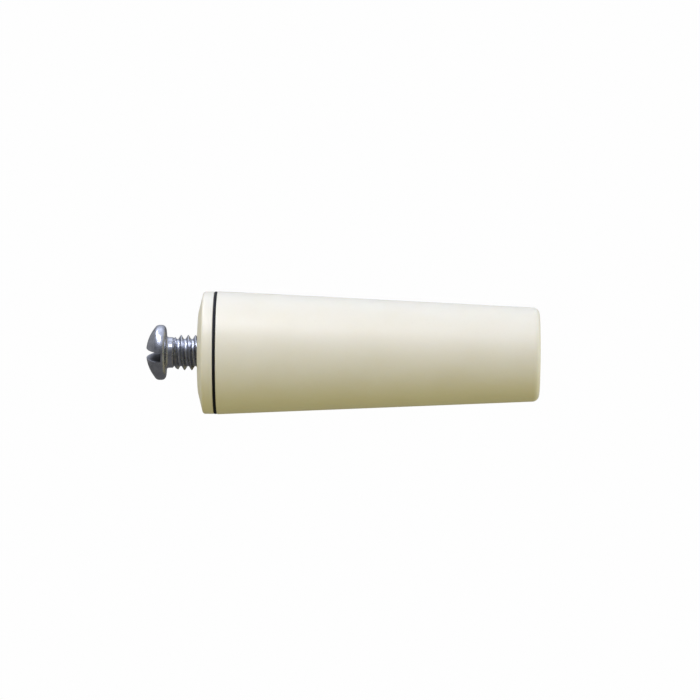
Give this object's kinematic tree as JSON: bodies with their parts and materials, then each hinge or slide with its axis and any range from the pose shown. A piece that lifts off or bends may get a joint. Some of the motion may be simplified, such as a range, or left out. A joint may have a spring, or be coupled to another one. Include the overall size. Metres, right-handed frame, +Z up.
{
  "type": "roller shutter stop",
  "caption": "Conical spring-cushioned stop for a roller shutter's bottom slat, with a slotted clamping screw, seat disc and rubber ring.",
  "frame": {"origin": "on the stop's axis, in the plane of the disc's seat, where the slat's face lies", "axes": "+X from the seat to the cone's tip, -X towards the screw's head, +Z up"},
  "size_m": [0.0692, 0.0218, 0.0218],
  "materials": {
    "ivory_plastic": "ivory moulded plastic, satin",
    "black_rubber": "matte black rubber",
    "natural_nylon": "natural nylon, satin",
    "sleeve_zinc": "turned steel, zinc plated",
    "spring_steel": "drawn spring steel",
    "screw_zinc": "bluish bright zinc plating on steel"
  },
  "bodies": {
    "base": {"base_disc": "ivory_plastic", "damping_ring": "black_rubber"},
    "sleeve": {"hex_sleeve": "sleeve_zinc", "coil_spring": "spring_steel", "spring_washer": "sleeve_zinc", "retaining_clip": "spring_steel"},
    "cone": {"cone_shell": "ivory_plastic", "mouth_collar": "natural_nylon"},
    "screw": {"clamp_screw": "screw_zinc"}
  },
  "joints": [
    {"name": "stop_turn", "type": "hinge", "parent": "base", "child": "sleeve", "pos_m": [0, 0, 0], "axis": [1, 0, 0], "range_deg": [-1530, 3240]},
    {"name": "screw_travel", "type": "slide", "parent": "base", "child": "screw", "axis": [1, 0, 0], "range_m": [-0.01145, 0.00541]},
    {"name": "cone_rock", "type": "hinge", "parent": "sleeve", "child": "cone", "pos_m": [0.0033, 0, -0.01085], "axis": [0, 1, 0], "range_deg": [0, 5], "stiffness_Nm_per_rad": 0.35, "springref_deg": -5.16, "deforming": ["coil_spring"]}
  ],
  "couplings": [
    {"joint": "screw_travel", "follows": "stop_turn", "m_per_rad": -0.00020213}
  ]
}
